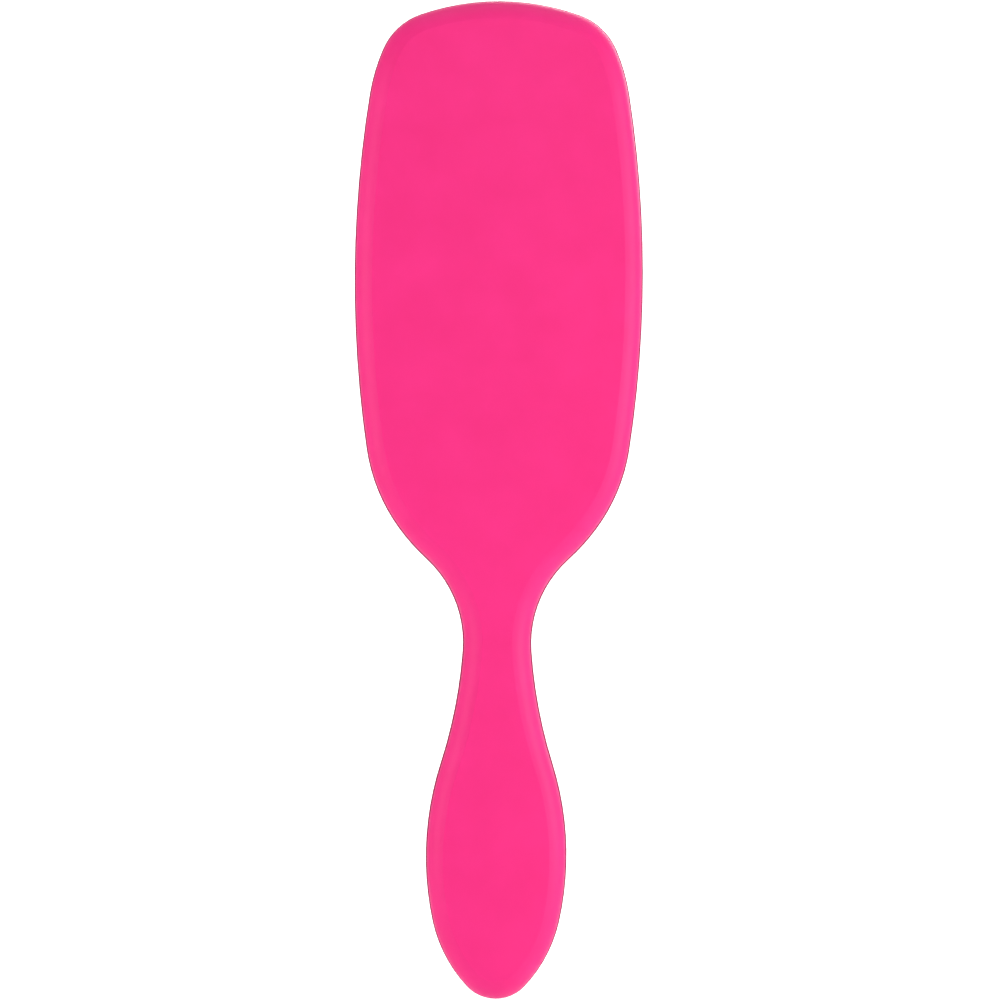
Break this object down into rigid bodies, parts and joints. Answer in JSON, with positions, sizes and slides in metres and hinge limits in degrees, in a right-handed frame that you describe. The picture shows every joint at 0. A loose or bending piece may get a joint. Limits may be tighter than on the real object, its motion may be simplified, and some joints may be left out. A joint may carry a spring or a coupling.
{
  "type": "cushion hair brush",
  "caption": "Hand-held hair brush with a smooth two-part body, a slim waisted handle and a sprung air cushion of ball-tipped pins and bristle tufts.",
  "frame": {"origin": "centre of the grip near the handle's widest point, on the middle line and on the plane where the back and front halves meet", "axes": "+Z along the handle towards the head, +Y out through the bristles, +X across the brush, to the right as seen from the back"},
  "size_m": [0.0642, 0.0383, 0.2223],
  "materials": {
    "shell": "satin soft-touch",
    "rubber": "matte",
    "plate": "moulded",
    "pin": "smooth",
    "tip": "polished",
    "bristle": "natural boar bristle",
    "ferrule": "moulded"
  },
  "bodies": {
    "handle": {"back_shell": "shell", "front_frame": "shell", "cushion": "rubber", "base_plate": "plate"},
    "field_centre": {"pins_centre": "pin", "tips_centre": "tip", "tufts_centre": "bristle", "ferrules_centre": "ferrule"},
    "field_inner": {"pins_inner": "pin", "tips_inner": "tip", "tufts_inner": "bristle", "ferrules_inner": "ferrule"},
    "field_outer": {"pins_outer": "pin", "tips_outer": "tip", "tufts_outer": "bristle", "ferrules_outer": "ferrule"}
  },
  "joints": [
    {"name": "press_centre", "type": "slide", "parent": "handle", "child": "field_centre", "axis": [0, -1, 0], "range_m": [0, 0.003], "stiffness_N_per_m": 3000, "deforming": ["cushion"]},
    {"name": "press_inner", "type": "slide", "parent": "handle", "child": "field_inner", "axis": [0, -1, 0], "range_m": [0, 0.00261], "stiffness_N_per_m": 1500},
    {"name": "press_outer", "type": "slide", "parent": "handle", "child": "field_outer", "axis": [0, -1, 0], "range_m": [0, 0.00165], "stiffness_N_per_m": 1500}
  ],
  "couplings": [
    {"joint": "press_inner", "follows": "press_centre", "ratio": 0.87},
    {"joint": "press_outer", "follows": "press_centre", "ratio": 0.55}
  ]
}
